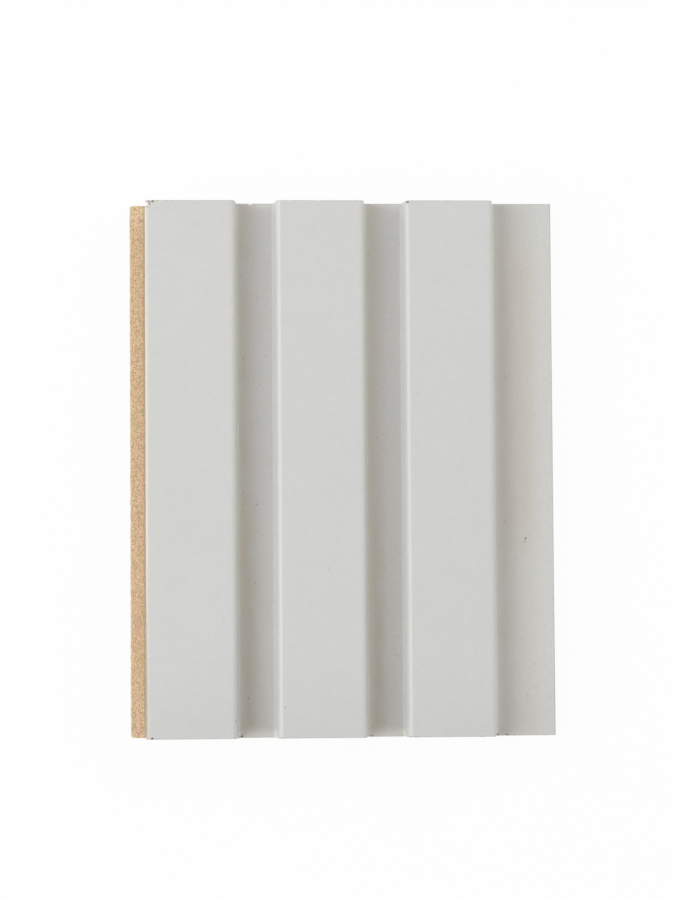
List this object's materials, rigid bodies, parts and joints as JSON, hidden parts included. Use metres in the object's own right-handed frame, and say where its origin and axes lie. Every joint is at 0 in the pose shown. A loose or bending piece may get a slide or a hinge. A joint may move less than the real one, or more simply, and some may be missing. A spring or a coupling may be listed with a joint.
{
  "type": "slatted wall panel",
  "caption": "Short length of interlocking slatted MDF wall panel with flat raised slats, a bare tongue along one edge and a lip along the other.",
  "frame": {"origin": "middle of the bounding box's bottom face, which is in the plane of the panel's flat back", "axes": "+X across the slats, from the tongue towards the lip; +Y along the slats; +Z out of the wall, from the back towards the slats' faces"},
  "size_m": [0.133, 0.1676, 0.018],
  "materials": {
    "wrapped_board": "satin"
  },
  "bodies": {
    "root": {"slat_panel": "wrapped_board"}
  },
  "joints": []
}
